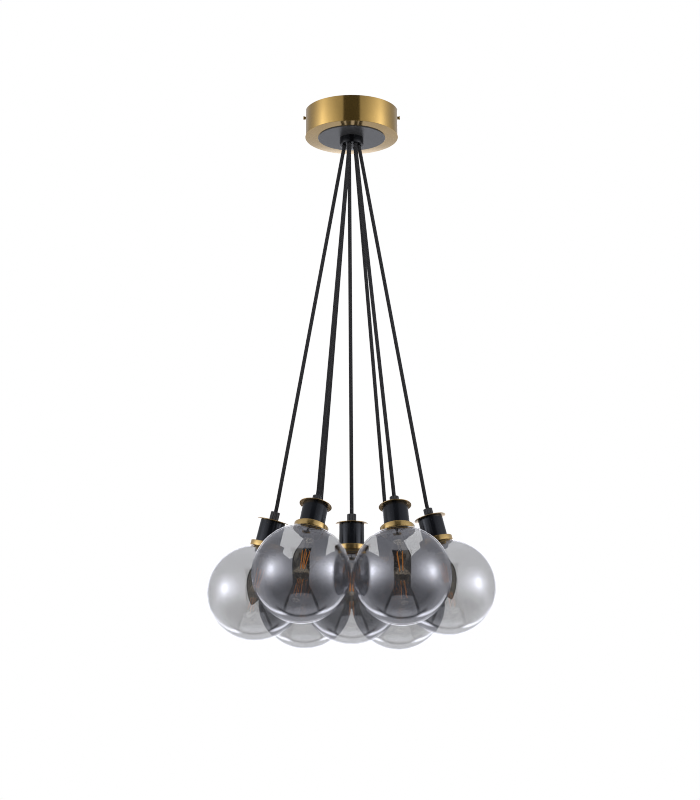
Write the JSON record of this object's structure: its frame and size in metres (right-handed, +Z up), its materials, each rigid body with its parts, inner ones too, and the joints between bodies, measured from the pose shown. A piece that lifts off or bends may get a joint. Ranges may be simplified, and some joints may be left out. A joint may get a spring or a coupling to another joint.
{
  "type": "cluster pendant",
  "caption": "Cluster pendant lamp: smoked glass globes with candle bulbs on black textile cords from one round brass ceiling canopy.",
  "frame": {"origin": "on the canopy's axis in the plane of the ceiling, midway between the strap's two slots", "axes": "+Z up towards the ceiling, -Y the front of the lamp, +X to the right along the strap"},
  "size_m": [0.451, 0.4106, 0.8777],
  "materials": {
    "brass": "polished lacquered brass",
    "plain_brass": "plain turned brass",
    "black_metal": "satin black enamel",
    "black_plastic": "matte",
    "white_plastic": "matte",
    "black_cord": "braided textile",
    "steel": "zinc plated",
    "smoked_glass": "smoked, half mirrored",
    "clear_glass": "clear"
  },
  "bodies": {
    "canopy": {"ceiling_bracket": "steel", "terminal_block": "white_plastic", "earth_terminal": "plain_brass", "canopy_shell": "brass", "cover_plate": "black_metal", "cord_boss": "black_metal", "boss_nut": "steel", "cord_retainer": "black_plastic", "cord_tails": "black_cord", "cord_centre": "black_cord", "cord_grip_centre": "black_plastic", "top_disc_centre": "brass", "lampholder_centre": "black_metal", "shade_ring_centre": "brass"},
    "globe_centre_body": {"globe_centre": "smoked_glass"},
    "bulb_centre_body": {"bulb_centre": "clear_glass"},
    "pendant_left": {"cord_left": "black_cord", "cord_grip_left": "black_plastic", "top_disc_left": "brass", "lampholder_left": "black_metal", "shade_ring_left": "brass"},
    "globe_left_body": {"globe_left": "smoked_glass"},
    "bulb_left_body": {"bulb_left": "clear_glass"},
    "pendant_front_left": {"cord_front_left": "black_cord", "cord_grip_front_left": "black_plastic", "top_disc_front_left": "brass", "lampholder_front_left": "black_metal", "shade_ring_front_left": "brass"},
    "globe_front_left_body": {"globe_front_left": "smoked_glass"},
    "bulb_front_left_body": {"bulb_front_left": "clear_glass"},
    "pendant_front_right": {"cord_front_right": "black_cord", "cord_grip_front_right": "black_plastic", "top_disc_front_right": "brass", "lampholder_front_right": "black_metal", "shade_ring_front_right": "brass"},
    "globe_front_right_body": {"globe_front_right": "smoked_glass"},
    "bulb_front_right_body": {"bulb_front_right": "clear_glass"},
    "pendant_right": {"cord_right": "black_cord", "cord_grip_right": "black_plastic", "top_disc_right": "brass", "lampholder_right": "black_metal", "shade_ring_right": "brass"},
    "globe_right_body": {"globe_right": "smoked_glass"},
    "bulb_right_body": {"bulb_right": "clear_glass"},
    "pendant_rear_right": {"cord_rear_right": "black_cord", "cord_grip_rear_right": "black_plastic", "top_disc_rear_right": "brass", "lampholder_rear_right": "black_metal", "shade_ring_rear_right": "brass"},
    "globe_rear_right_body": {"globe_rear_right": "smoked_glass"},
    "bulb_rear_right_body": {"bulb_rear_right": "clear_glass"},
    "pendant_rear_left": {"cord_rear_left": "black_cord", "cord_grip_rear_left": "black_plastic", "top_disc_rear_left": "brass", "lampholder_rear_left": "black_metal", "shade_ring_rear_left": "brass"},
    "globe_rear_left_body": {"globe_rear_left": "smoked_glass"},
    "bulb_rear_left_body": {"bulb_rear_left": "clear_glass"},
    "side_screw_right_body": {"side_screw_right": "brass"},
    "side_screw_left_body": {"side_screw_left": "brass"}
  },
  "joints": [
    {"name": "globe_off_centre", "type": "slide", "parent": "canopy", "child": "globe_centre_body", "axis": [0, 0, -1], "range_m": [0, 0.1]},
    {"name": "bulb_out_centre", "type": "slide", "parent": "canopy", "child": "bulb_centre_body", "axis": [0, 0, -1], "range_m": [0, 0.03]},
    {"name": "swing_left", "type": "hinge", "parent": "canopy", "child": "pendant_left", "pos_m": [-0.0118, 0, -0.058], "axis": [0, 1, 0], "range_deg": [0, 25]},
    {"name": "globe_off_left", "type": "slide", "parent": "pendant_left", "child": "globe_left_body", "axis": [-0.243, 0.0727, -0.9673], "range_m": [0, 0.1]},
    {"name": "bulb_out_left", "type": "slide", "parent": "pendant_left", "child": "bulb_left_body", "axis": [-0.243, 0.0727, -0.9673], "range_m": [0, 0.03]},
    {"name": "swing_front_left", "type": "hinge", "parent": "canopy", "child": "pendant_front_left", "pos_m": [-0.00365, -0.01122, -0.058], "axis": [-0.866, 0.5, 0], "range_deg": [0, 25]},
    {"name": "globe_off_front_left", "type": "slide", "parent": "pendant_front_left", "child": "globe_front_left_body", "axis": [-0.1779, -0.2347, -0.9557], "range_m": [0, 0.1]},
    {"name": "bulb_out_front_left", "type": "slide", "parent": "pendant_front_left", "child": "bulb_front_left_body", "axis": [-0.1779, -0.2347, -0.9557], "range_m": [0, 0.03]},
    {"name": "swing_front_right", "type": "hinge", "parent": "canopy", "child": "pendant_front_right", "pos_m": [0.0059, -0.01022, -0.058], "axis": [-0.866, -0.5, 0], "range_deg": [0, 25]},
    {"name": "globe_off_front_right", "type": "slide", "parent": "pendant_front_right", "child": "globe_front_right_body", "axis": [0.0812, -0.2321, -0.9693], "range_m": [0, 0.1]},
    {"name": "bulb_out_front_right", "type": "slide", "parent": "pendant_front_right", "child": "bulb_front_right_body", "axis": [0.0812, -0.2321, -0.9693], "range_m": [0, 0.03]},
    {"name": "swing_right", "type": "hinge", "parent": "canopy", "child": "pendant_right", "pos_m": [0.0118, 0, -0.058], "axis": [0, -1, 0], "range_deg": [0, 25]},
    {"name": "globe_off_right", "type": "slide", "parent": "pendant_right", "child": "globe_right_body", "axis": [0.2398, -0.0593, -0.969], "range_m": [0, 0.1]},
    {"name": "bulb_out_right", "type": "slide", "parent": "pendant_right", "child": "bulb_right_body", "axis": [0.2398, -0.0593, -0.969], "range_m": [0, 0.03]},
    {"name": "swing_rear_right", "type": "hinge", "parent": "canopy", "child": "pendant_rear_right", "pos_m": [0.0059, 0.01022, -0.058], "axis": [0.866, -0.5, 0], "range_deg": [0, 25]},
    {"name": "globe_off_rear_right", "type": "slide", "parent": "pendant_rear_right", "child": "globe_rear_right_body", "axis": [0.144, 0.2157, -0.9658], "range_m": [0, 0.1]},
    {"name": "bulb_out_rear_right", "type": "slide", "parent": "pendant_rear_right", "child": "bulb_rear_right_body", "axis": [0.144, 0.2157, -0.9658], "range_m": [0, 0.03]},
    {"name": "swing_rear_left", "type": "hinge", "parent": "canopy", "child": "pendant_rear_left", "pos_m": [-0.00423, 0.01102, -0.058], "axis": [0.866, 0.5, 0], "range_deg": [0, 25]},
    {"name": "globe_off_rear_left", "type": "slide", "parent": "pendant_rear_left", "child": "globe_rear_left_body", "axis": [-0.1736, 0.2372, -0.9558], "range_m": [0, 0.1]},
    {"name": "bulb_out_rear_left", "type": "slide", "parent": "pendant_rear_left", "child": "bulb_rear_left_body", "axis": [-0.1736, 0.2372, -0.9558], "range_m": [0, 0.03]},
    {"name": "screw_right", "type": "slide", "parent": "canopy", "child": "side_screw_right_body", "axis": [1, 0, 0], "range_m": [0, 0.009]},
    {"name": "screw_left", "type": "slide", "parent": "canopy", "child": "side_screw_left_body", "axis": [-1, 0, 0], "range_m": [0, 0.009]}
  ]
}
